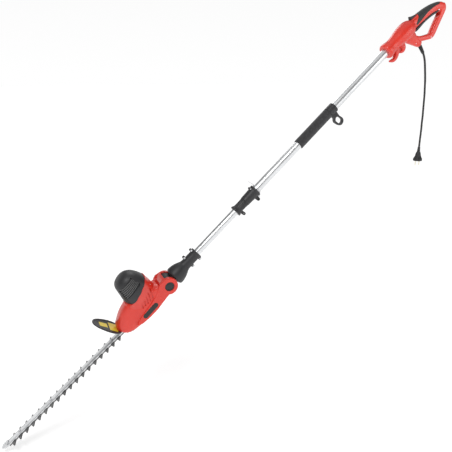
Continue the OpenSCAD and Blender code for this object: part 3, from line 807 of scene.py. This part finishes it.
def make_handle():
    solid = handle_solid()
    skin = grown(solid, "grip_skin", 0.45)
    for cutter in handle_hollow() + [lock_off_mouth()]:
        combine(solid, cutter)
    halves = split_halves(solid, "handle_shell", SEAM_GAP, POLE, "pole", RED)
    shade(combine(halves[1], screw_wells(HANDLE_SCREWS, HANDLE_HALF - 3.0, POLE)), True, 40)
    make_soft_grip(skin)


def make_soft_grip(skin):
    """The black overmould: a wedge over the top and upper sides of the hand grip."""
    bm = bmesh.new()
    add_prism(bm, [(570, 40), (569, 15), (563, 9), (552, 3), (542, -3), (540, -7), (544, -10.5),
                   (556, -10), (580, -7), (606, -5.5), (632, -8), (652, -13), (664, -17.5),
                   (672, -15), (676, -4), (672, 20)], -30, 30)
    combine(skin, new_object("wedge", bm, POLE), "INTERSECT")
    combine(skin, switch_room())
    finish_piece(shade(skin, True, 40), "pole", RUBBER, ["handle_soft_grip"])


def make_trigger():
    """A long squeeze bar: a narrow web inside the grip and a wide, rounded finger face below."""
    bm = bmesh.new()
    add_bar(bm, [(534.5, -24.5, 5.0, 9.0), (537, -25.5, 6.0, 9.7), (556, -25.2, 5.6, 9.8),
                 (580, -24.6, 5.2, 9.8), (606, -26.8, 5.2, 9.8), (628, -30.5, 5.2, 9.8),
                 (644, -35.2, 5.0, 9.6), (652, -37.4, 3.0, 8.6)], 3.6)
    add_bar(bm, [(536, -18, 3.4, 6.6), (560, -19.6, 3.6, 6.8), (600, -22.4, 3.6, 6.8), (640, -30.6, 4, 6.8),
                 (652, -33, 4, 6.4)], 4)
    obj = fuse(new_object("trigger_lever", bm, POLE), 0.7 * fine, 3)
    shade(obj, True, 50)
    return finish_piece(obj, "trigger", BLACK, ["switch_trigger"])


def make_lock_off():
    bm = bmesh.new()
    add_prism(bm, [(-15, -2), (15, -2), (15, 7.4), (11, 8.4), (-8, 8.8), (-10, 11.0), (-13, 11.6),
                   (-15, 10.4)], -6, 6)
    add_box(bm, (-15, -9.5, -4), (15, 9.5, -2))
    for rib in range(6):
        x = -6 + 3.2 * rib
        add_prism(bm, [(x, 8), (x + 1.6, 8), (x + 1.2, 9.5), (x + 0.4, 9.5)], -5.2, 5.2)
    obj = new_object("lock_off_slider", bm, POLE @ LOCK_OFF)
    soften(obj, 0.5, 2, 30)
    apply_modifiers(obj)
    shade(obj, True, 35)
    return finish_piece(obj, "lock_off", BLACK, ["lock_off_button"])


make_handle()
make_trigger()
make_lock_off()


# ------------------------------------------------------------------ foam grip

def make_foam():
    """Foam sleeve, pulled in a little at both rims."""
    low, high = -79.0, 79.0
    radius = 18.75
    bm = bmesh.new()
    profile = [(low, 15.1), (low, 17.2), (low + 0.5, 18.1), (low + 1.8, radius - 0.1), (low + 5, radius)]
    profile += [(low + 5 + (high - low - 10) * k / 30, radius - 0.12 * math.sin(math.pi * k / 30))
                for k in range(1, 30)]
    profile += [(high - 5, radius), (high - 1.8, radius - 0.1), (high - 0.5, 18.1),
                (high, 17.2), (high, 15.1)]
    add_lathe(bm, profile, 72)
    obj = shade(new_object("foam_sleeve", bm, POLE), True, 60)
    finish_piece(obj, "pole", FOAM, ["front_grip"])


make_foam()


# ------------------------------------------------------------------ telescope lock

def lug(bm, x, z, reach, half, radius):
    """A flat screw lug with round ends, standing out of a tube."""
    add_prism(bm, round_outline((x, z * reach), (x, z), radius, 8), -half, half)


def ring_bar(bm, profile, around=72, flutes=0, depth=0.0):
    """A tube-like solid along the pole; flutes sink evenly spaced grooves where wanted."""
    rings = []
    for along, radius, fluted in profile:
        ring = []
        for k in range(around):
            turn = 2 * math.pi * k / around
            dip = depth * fluted * max(0.0, math.cos(flutes * turn)) ** 2 if flutes else 0.0
            ring.append(Vector((along, (radius - dip) * math.cos(turn), (radius - dip) * math.sin(turn))))
        rings.append(ring)
    add_rings(bm, rings)


def eyelet(obj, at):
    """Drills the eye of a lock part, across the pole."""
    place = POLE @ Matrix.Translation((at[0], 0, at[1]))
    return bore(obj, [(-30, EYE_R), (30, EYE_R)], place, "Y", 28)


EYE_R = 2.7
LOCK_SCREWS = [(-314, 21.2), (-309, -21.5)]
LOCK_EYE = (-316, -32)
COLLAR_EYE = (-389, -30)


def make_lock_body():
    bm = bmesh.new()
    ring_bar(bm, [(-359, 15.2, 0), (-359, 17.6, 0), (-357, 18.3, 0), (-340, 18.7, 0), (-322, 19.4, 0),
                  (-308, 20.2, 0), (-305.5, 22.4, 0), (-302, 22.6, 0), (-301, 21.8, 0), (-301, 15.2, 0)])
    for x, z in LOCK_SCREWS:
        lug(bm, x, z, 0.5, 5.8, 4.6)
    add_prism(bm, round_outline((-319, -16), LOCK_EYE, 6.2, 10), -4, 4)
    body = fuse(new_object("lock_solid", bm, POLE), 0.6 * fine, 2)
    bore(body, [(-380, 15.06), (-280, 15.06)])
    eyelet(body, LOCK_EYE)
    split_halves(body, "lock_body", 0.1, POLE, "pole", BLACK)


def make_lock_collar():
    bm = bmesh.new()
    ring_bar(bm, [(-407, 15.2, 0), (-407, 20.2, 0), (-405.6, 21.2, 0), (-402, 21.0, 0), (-398.5, 18.8, 0.4),
                  (-393, 16.9, 1), (-384, 16.4, 1), (-370, 16.5, 1), (-364, 16.9, 0.6), (-361, 17.2, 0),
                  (-359.3, 16.9, 0), (-359.3, 14.5, 0)], 96, 12, 1.1)
    add_prism(bm, round_outline((-392, -15), COLLAR_EYE, 5.8, 10), -4, 4)
    collar = fuse(new_object("lock_twist_collar", bm, POLE), 0.6 * fine, 1)
    bore(collar, [(-420, 14.4), (-340, 14.4)])
    eyelet(collar, COLLAR_EYE)
    finish_piece(shade(collar, True, 40), "lock_collar", BLACK, ["lock_collar"])


make_lock_body()
make_lock_collar()


# ------------------------------------------------------------------ neck

PIN_R = 6.05
NECK_SCREWS = [(-611, 24), (-611, -24), (-646, 24), (-646, -24)]
PIVOT = POLE @ Matrix.Translation((-749, 0, 6))


def make_neck():
    bm = bmesh.new()
    add_lathe(bm, spline([(-724, 3), (-724, 16), (-720, 27), (-717.4, 31.6), (-713.5, 33.8), (-706, 33.6),
                          (-696, 32), (-686, 29.4), (-677, 25.8), (-670, 22.4), (-665, 20.4), (-659, 19.4),
                          (-640, 18.8), (-618, 18.6), (-610, 19.4), (-605, 21.6), (-602.4, 21.4),
                          (-602, 19), (-602, 3)], 3), 72)
    bell = bore(new_object("bell", bm, POLE), [(-50, 32.8), (50, 32.8)], PIVOT, "Y", 72)
    bm = bmesh.new()
    bm.from_mesh(bell.data)
    bm.transform(POLE.inverted())
    bpy.data.objects.remove(bell)
    knuckle = bmesh.new()
    add_lathe(knuckle, [(-24, 25.6), (-23.4, 26.8), (-22, 27), (22, 27), (23.4, 26.8), (24, 25.6)], 72, "Y")
    merge(bm, knuckle, POLE.inverted() @ PIVOT)
    add_box(bm, (-749, -19, -2), (-712, 19, 14))
    for x, z in NECK_SCREWS:
        lug(bm, x, z, 0.55, 4.8, 5.2)
    neck = fuse(new_object("neck_solid", bm, POLE), 0.9 * fine, 3)
    for side in (-1, 1):
        edge = sorted((side * 23.9, side * 60))
        bore(neck, [(edge[0], 31.6), (edge[1], 31.6)], PIVOT, "Y")
    bore(neck, [(-40, PIN_R), (40, PIN_R)], PIVOT, "Y", 32)
    bore(neck, [(-690, 13.1), (-590, 13.1)], POLE, "X", 48)
    split_halves(neck, "neck_shell", 0.12, POLE, "boom", BLACK)


make_neck()


# ------------------------------------------------------------------ motor head

HEAD_SCREWS = [(-208, 14), (-160, 42), (-44, -20), (-40, 52), (-196, -26)]
RIM_X, RIM_Z, RIM_R = -87.0, 77.0, 54.0
RIM = Matrix.Translation((RIM_X, 0, RIM_Z)) @ Matrix.Rotation(math.radians(-7), 4, "Y")
FORK_HALF = 24.3
CHEEK_Y = 39.0
RIM_SLOPE = math.tan(math.radians(7))


def head_solid():
    bm = bmesh.new()
    # gear housing, from the blade's mouth back to the fork
    add_bar(bm, [(-221, -6.5, 17, 21), (-218.5, -5.5, 21.5, 23.5), (-208, -2.5, 30.5, 27),
                 (-190, 0.5, 38.5, 30), (-162, 5.5, 46.5, 32.5), (-130, 9.5, 50.0, 34),
                 (-100, 9.0, 48, 34.5), (-72, 7, 42.5, 34.5), (-48, 5.5, 33.5, 34.2),
                 (-30, 2, 26, 33.5)], 3.3)
    # the housing's flare up to the motor rim
    add_stack(bm, [(-8, -100, 62, 31, 0.0), (12, -98, 63, 34.5, 0.0), (34, -95, 62, 41, 0.04),
                   (54, -91, 59, 49, 0.10), (68, -88.5, 56, 54, RIM_SLOPE),
                   (RIM_Z, RIM_X, RIM_R + 1, RIM_R + 1, RIM_SLOPE),
                   (RIM_Z + 3, RIM_X, RIM_R + 1, RIM_R + 1, RIM_SLOPE)], 2.3)
    # ears of the fork and the arms that carry them
    for side in (-1, 1):
        faces = sorted((side * (FORK_HALF - 3), side * 39.4))
        middle = sum(faces) / 2
        rounded = [(faces[0], 27.8), (faces[0] + 1.4, 29.6), (faces[0] + 3, 30.2), (faces[1] - 3, 30.2),
                   (faces[1] - 1.4, 29.6), (faces[1], 27.8)]
        add_lathe(bm, rounded, 72, "Y")
        arm = bmesh.new()
        add_bar(arm, [(-4, 0, 24, 5.5), (-24, 2, 24, 6.4), (-46, 5, 27, 6.5), (-66, 6, 24, 5),
                      (-84, 6, 16, 2.5)], 3.0)
        merge(bm, arm, Matrix.Translation((0, middle, 0)))
        # the swept cheek panel that carries the badge
        edge = sorted((side * 30.0, side * CHEEK_Y))
        add_prism(bm, [(-14, -20), (4, 29), (-14, 33), (-26, 28), (-38, 19), (-54, 11.5), (-76, 5),
                       (-100, -0.5), (-128, -5.5), (-150, -11), (-170, -21), (-152, -29), (-120, -31.5),
                       (-84, -31), (-50, -25)], edge[0], edge[1])
    # shroud over the knuckle, between the ears
    shroud = [(r * math.cos(math.radians(a)), r * math.sin(math.radians(a)))
              for r, sweep in ((31, range(78, 196, 5)), (20, range(190, 77, -5))) for a in sweep]
    add_prism(bm, shroud, -FORK_HALF - 1, FORK_HALF + 1)
    obj = new_object("head_solid", bm, HEAD)
    return fuse(obj, 1.2 * fine, 4)


def head_cutters():
    cutters = []

    def cutter(matrix=HEAD):
        bm = bmesh.new()
        cutters.append((bm, matrix))
        return bm

    fork = cutter()
    add_lathe(fork, [(-FORK_HALF, 27.8), (FORK_HALF, 27.8)], 72, "Y")
    add_prism(cutter(), [(0, 0), (15.5, 70), (70, 70), (70, -70), (-9, -70), (-9, -20)],
              -FORK_HALF, FORK_HALF)
    add_lathe(cutter(), [(-60, PIN_R), (60, PIN_R)], 40, "Y")
    add_lathe(cutter(), [(-60, 16.5), (-30, 16.5)], 56, "Y")
    add_lathe(cutter(), [(34, 10.2), (60, 10.2)], 48, "Y")
    add_box(cutter(), (-198, -24, -30), (-53.5, 24, 16.4))
    motor = cutter(HEAD @ Matrix.Translation((RIM_X, 0, 0)))
    add_lathe(motor, [(17, 31.2), (32, 31.2), (38, 34.6), (44, 37.5), (64, 37.5)], 64, "Z")
    rim = cutter(HEAD @ RIM)
    add_lathe(rim, [(-22, 43), (10, 43)], 64, "Z")
    add_cap_seat(cutter(HEAD @ RIM))
    add_box(cutter(), (-240, -23, -21.6), (-190, 23, -7.6))
    return [new_object("head_cutter", bm, matrix) for bm, matrix in cutters]


CAP_STEPS = 96
CAP_DIP = [(0, -4), (25, -10), (45, -19), (62, -20), (90, -14), (120, -7), (150, -2), (180, 0)]
CAP_SHAPE = [  # height, reach to the front, to the rear and to the sides, squareness
    (0.4, 53.4, 52.6, 53.4, 2.5), (8, 50.6, 51.6, 52.2, 2.5), (20, 46.2, 49.0, 49.4, 2.5),
    (32, 41.8, 45.4, 45.8, 2.4), (42, 38.2, 40.4, 41.6, 2.4), (50, 34.6, 34.6, 36.6, 2.3),
    (56, 29.6, 28.2, 30.8, 2.2), (60, 22.6, 20.6, 23.4, 2.1), (62.2, 13.0, 11.4, 12.8, 2.0),
    (62.8, 3.6, 3.0, 3.6, 2.0)]


def cap_dip(angle):
    """How far the cap's edge hangs below the rim plane, by the angle from the blade side."""
    from_front = abs(math.degrees(angle) % 360 - 180)
    for (a, low), (b, high) in zip(CAP_DIP, CAP_DIP[1:]):
        if a <= from_front <= b:
            t = (from_front - a) / (b - a)
            return low + (high - low) * t * t * (3 - 2 * t)
    return 0.0


def cap_ring(row, inset=0.0, lift=0.0):
    z, front, rear, sides, square = row
    ring = []
    for k in range(CAP_STEPS):
        turn = 2 * math.pi * k / CAP_STEPS
        c, s = power(math.cos(turn), 2 / square), power(math.sin(turn), 2 / square)
        x = c * max((rear if c > 0 else front) - inset, 0.5)
        y = s * max(sides - inset, 0.5)
        ring.append(Vector((x, y, z + lift)))
    return ring


def add_cap_seat(bm):
    """The step in the red rim that the cap's hanging edge sits in."""
    rings = []
    for reach, drop in ((-6.0, 0.35), (14.0, 0.35)):
        base = cap_ring(CAP_SHAPE[0], -reach)
        rings.append([Vector((p.x, p.y, cap_dip(math.atan2(p.y, p.x)) - drop)) for p in base])
    rings.append([Vector((p.x, p.y, 20)) for p in cap_ring(CAP_SHAPE[0], -14)])
    rings.append([Vector((p.x, p.y, 20)) for p in cap_ring(CAP_SHAPE[0], 6)])
    rows = [[bm.verts.new(p) for p in ring] for ring in rings]
    for first, second in zip(rows, rows[1:] + rows[:1]):
        for k in range(CAP_STEPS):
            bm.faces.new((first[k - 1], first[k], second[k], second[k - 1]))


def vent_cutters(solid):
    """Five slanted blind slots on each side, cut to an even depth below the skin."""
    bm = bmesh.new()
    for slot in range(5):
        length = 22 + 5 * slot
        one = bmesh.new()
        for side in (-1, 1):
            edge = sorted((side * 24.0, side * 60.0))
            add_prism(one, round_outline((0, 2.7), (0, length - 2.7), 2.7, 6), edge[0], edge[1])
        merge(bm, one, Matrix.Translation((-113 + 11.5 * slot, 0, 9))
              @ Matrix.Rotation(math.radians(24), 4, "Y"))
    return combine(new_object("vents", bm, HEAD), grown(solid, "vent_floor", -3.2))


def make_head():
    solid = head_solid()
    vents = vent_cutters(solid)
    # The seam's painted shade: a dark red sheet 0.8 mm inside the skin, seen through the gap between the
    # two shells in place of the shaded inside of the housing.
    core = grown(solid, "head_seam_shade", -0.8)
    combine(solid, vents)
    for cutter in head_cutters():
        combine(solid, cutter)
    halves = split_halves(solid, "head_shell", SEAM_GAP, HEAD, "head", RED)
    shade(combine(halves[1], screw_wells(HEAD_SCREWS, 26.0, HEAD)), True, 40)
    for cutter in head_cutters():
        combine(core, cutter)
    # Kept to a thin slab about the seam, so that the painted shade shows only through the gap.
    bm = bmesh.new()
    add_box(bm, (-260, -1.2, -80), (60, 1.2, 130))
    combine(core, new_object("slab", bm, HEAD), "INTERSECT")
    shade(core, True, 40)
    finish_piece(core, "head", SEAM_SHADE)


def make_cap():
    """Domed motor cover, flattened towards the blade, with a louvred recess on each side."""
    wall = 5.0
    place = HEAD @ RIM @ Matrix.Translation((0, 0, 0.4))
    rows = spline(CAP_SHAPE, 4)
    bm = bmesh.new()
    base = cap_ring(rows[0])
    hem = [Vector((p.x, p.y, cap_dip(math.atan2(p.y, p.x)) + 0.3)) for p in base]
    hem_in = [Vector((p.x * 0.93, p.y * 0.93, q.z)) for p, q in zip(base, hem)]
    inner_rows = [row for row in rows if row[0] < 58]
    rings = [cap_ring(row, wall, -1.0) for row in reversed(inner_rows)] + [hem_in, hem]
    rings += [cap_ring(row) for row in rows]
    add_rings(bm, rings)
    cap = new_object("motor_cover", bm, place)
    for side in (-1, 1):
        combine(cap, recess(place, side))
    shade(cap, True, 35)
    finish_piece(cap, "head", BLACK, ["motor_cap"])
    # The ribs take the lighter grey of the painted highlight.
    ribs = bmesh.new()
    for side in (-1, 1):
        for rib in range(6):
            add_rib(ribs, side, 12 + 5.4 * rib, 5 - 2.4 * rib)
    obj = new_object("cover_ribs", ribs, place)
    shade(obj, True, 35)
    finish_piece(obj, "head", RIB_HIGHLIGHT)


RECESS = (-46, 34)        # degrees to the front and to the rear of straight sideways


def side_ring(z, inset, side, start, stop, steps=12, slope=0.0):
    """Points on the cap's skin at a height, from start to stop degrees about its side."""
    rows = spline(CAP_SHAPE, 4)
    ring = []
    for k in range(steps + 1):
        off = start + (stop - start) * k / steps
        height = z + slope * (k / steps - 0.5)
        row = next(r for r in rows if r[0] >= height)
        before = rows[max(rows.index(row) - 1, 0)]
        t = (height - before[0]) / max(row[0] - before[0], 1e-6)
        _, front, rear, sides, square = [a + (b - a) * t for a, b in zip(before, row)]
        turn = math.radians(side * (90 - off))
        c, s = power(math.cos(turn), 2 / square), power(math.sin(turn), 2 / square)
        ring.append(Vector((c * ((rear if c > 0 else front) - inset), s * (sides - inset), height)))
    return ring


def recess(place, side):
    """The sunk field that holds one set of louvres."""
    bm = bmesh.new()
    rings = []
    for z, lean in ((7.5, 3), (16, 1), (26, 0), (36, -2), (43, -5)):
        near = side_ring(z, 3.8, side, RECESS[0] + lean, RECESS[1] - lean)
        far = side_ring(z, -12.0, side, RECESS[0] + lean, RECESS[1] - lean)
        rings.append(near + list(reversed(far)))
    add_rings(bm, rings)
    return new_object("recess", bm, place)


def add_rib(bm, side, z, fan):
    """One thin rib across the recess."""
    rings = []
    for height, inset in ((z - 0.8, 4.2), (z - 0.6, 0.3), (z + 0.6, 0.3), (z + 0.8, 4.2)):
        rings.append(side_ring(height, inset, side, RECESS[0] + 1, RECESS[1] + 1, 12, fan))
    count = len(rings[0])
    rows = [[bm.verts.new(p) for p in ring] for ring in rings]
    for first, second in zip(rows, rows[1:] + rows[:1]):
        for k in range(count - 1):
            bm.faces.new((first[k], first[k + 1], second[k + 1], second[k]))
    bm.faces.new([row[0] for row in rows])
    bm.faces.new([row[-1] for row in reversed(rows)])


def make_release_button():
    bm = bmesh.new()
    profile = [(-34.5, 9.2), (-34.5, 15.7), (-36.6, 15.9), (-37.6, 15.2), (-37.9, 13.4), (-37.4, 12.6),
               (-37.2, 11.6), (-37.9, 10.6), (-38.4, 8.4), (-38.6, 4), (-38.6, 0.4)]
    inner = [(-36.4, 0.4), (-36.4, 9.2)]
    add_lathe(bm, profile + inner + [profile[0]], 72, "Y")
    obj = shade(new_object("release_cap", bm, HEAD), True, 45)
    return finish_piece(obj, "release_button", GLOSS, ["release_button"])


def make_badge():
    """A blank gloss pill with a raised middle, bedded in the left cheek."""
    bm = bmesh.new()
    ends = ((-126, -15.5), (-77, -12.5))
    for radius, y0, y1 in ((8.6, -CHEEK_Y - 0.7, -CHEEK_Y + 2), (7.6, -CHEEK_Y - 1.0, -CHEEK_Y - 0.5)):
        add_prism(bm, round_outline(ends[0], ends[1], radius, 14), y0, y1)
    obj = new_object("blank_badge", bm, HEAD)
    soften(obj, 0.3, 2, 40)
    apply_modifiers(obj)
    shade(obj, True, 35)
    return finish_piece(obj, "head", GLOSS, ["badge_plate"])


GUARD = Matrix.Translation((-222, 0, -4)) @ Matrix.Rotation(math.radians(-22), 4, "Y")
GUARD_HALF = [(0, 21), (4, 28), (12, 35), (24, 41), (38, 43.5), (52, 42.5), (66, 39), (80, 33.5),
              (91, 26), (99, 16), (102.5, 6)]


def add_leaf(bm, x0, x1, shrink):
    """The guard's leaf outline in y and z, drawn out along x."""
    side = [(max(half - shrink, 0.4), z + (shrink if z < 20 else -shrink if z > 90 else 0))
            for z, half in spline(GUARD_HALF, 4)]
    outline = side + [(-y, z) for y, z in reversed(side)]
    add_rings(bm, [[(x, y, z) for y, z in outline] for x in (x0, x1)])


def make_guard():
    """The leaf-shaped hand guard: a thick rim around a dished face."""
    bm = bmesh.new()
    add_leaf(bm, -2.6, 1.6, 0)
    guard = new_object("hand_guard", bm, HEAD @ GUARD)
    bm = bmesh.new()
    add_leaf(bm, 0.0, 6, 3.4)
    combine(guard, new_object("dish", bm, HEAD @ GUARD))
    bm = bmesh.new()
    add_box(bm, (-8, -14, -8), (8, 14, 8.5))
    combine(guard, new_object("gap", bm, HEAD @ GUARD))
    soften(guard, 0.7, 3, 40)
    apply_modifiers(guard)
    shade(guard, True, 35)
    finish_piece(guard, "head", BLACK, ["blade_guard"])
    bm = bmesh.new()
    for z0, z1, half in ((14, 43, 27), (49, 78, 14)):
        add_box(bm, (0.02, -half, z0), (0.35, half, z1))
    labels = new_object("blank_labels", bm, HEAD @ GUARD)
    finish_piece(labels, "head", YELLOW, ["guard_label"])


make_head()
make_cap()
make_badge()
make_guard()
make_release_button()


# ------------------------------------------------------------------ stage

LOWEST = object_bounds()[0].z


def make_stage():
    bm = bmesh.new()
    size = 40.0
    for x, y in ((-size, -size), (size, -size), (size, size), (-size, size)):
        bm.verts.new((x, y, 0))
    bm.faces.new(bm.verts[:])
    floor = new_object("floor", bm, Matrix.Translation((0, 0, LOWEST - 0.02)))
    pale = Material("pale_floor", (0.93, 0.93, 0.93), 0.9)
    where = pale.node("ShaderNodeTexCoord").outputs["Object"]
    away = pale.node("ShaderNodeVectorMath", operation="LENGTH")
    glow = pale.node("ShaderNodeMapRange")
    for socket, value in (("From Min", 0.8), ("From Max", 4.5), ("To Min", 0.36), ("To Max", 0.64)):
        glow.inputs[socket].default_value = value
    pale.link(where, away.inputs[0])
    pale.link(away.outputs["Value"], glow.inputs["Value"])
    pale.link(glow.outputs["Result"], pale.shader.inputs["Emission Strength"])
    floor.data.materials.append(pale.material)
    bpy.context.scene.view_settings.view_transform = "Standard"
    world = bpy.data.worlds.new("studio")
    bpy.context.scene.world = world
    world.use_nodes = True
    tree = world.node_tree
    where = tree.nodes.new("ShaderNodeTexCoord")
    split = tree.nodes.new("ShaderNodeSeparateXYZ")
    ramp = tree.nodes.new("ShaderNodeValToRGB")
    tree.links.new(where.outputs["Generated"], split.inputs["Vector"])
    tree.links.new(split.outputs["Z"], ramp.inputs["Fac"])
    tree.links.new(ramp.outputs["Color"], tree.nodes["Background"].inputs["Color"])
    stops = ramp.color_ramp.elements
    stops[0].position, stops[0].color = 0.0, (1, 1, 1, 1)
    stops[1].position, stops[1].color = 1.0, (0.85, 0.85, 0.85, 1)
    for position, value in ((0.18, 0.96), (0.36, 0.22), (0.70, 0.24)):
        stop = stops.new(position)
        stop.color = (value, value, value, 1)
    tree.nodes["Background"].inputs["Strength"].default_value = 1.0


def soft_light(name, place, aim, size, power_w):
    data = bpy.data.lights.new(name, "AREA")
    data.shape = "RECTANGLE"
    data.size, data.size_y = size
    data.energy = power_w
    obj = bpy.data.objects.new(name, data)
    bpy.context.scene.collection.objects.link(obj)
    obj.location = place
    obj.rotation_mode = "QUATERNION"
    obj.rotation_quaternion = (Vector(aim) - Vector(place)).to_track_quat("-Z", "Y")


make_stage()
soft_light("key", (-1.7, -1.5, 2.0), (-0.2, 0, 0), (1.2, 1.0), 34)
soft_light("fill", (1.8, -2.0, 0.9), (0, 0, 0), (1.4, 1.4), 10)
soft_light("rim", (0.2, 2.0, 1.6), (-0.2, 0, 0), (1.4, 1.0), 14)
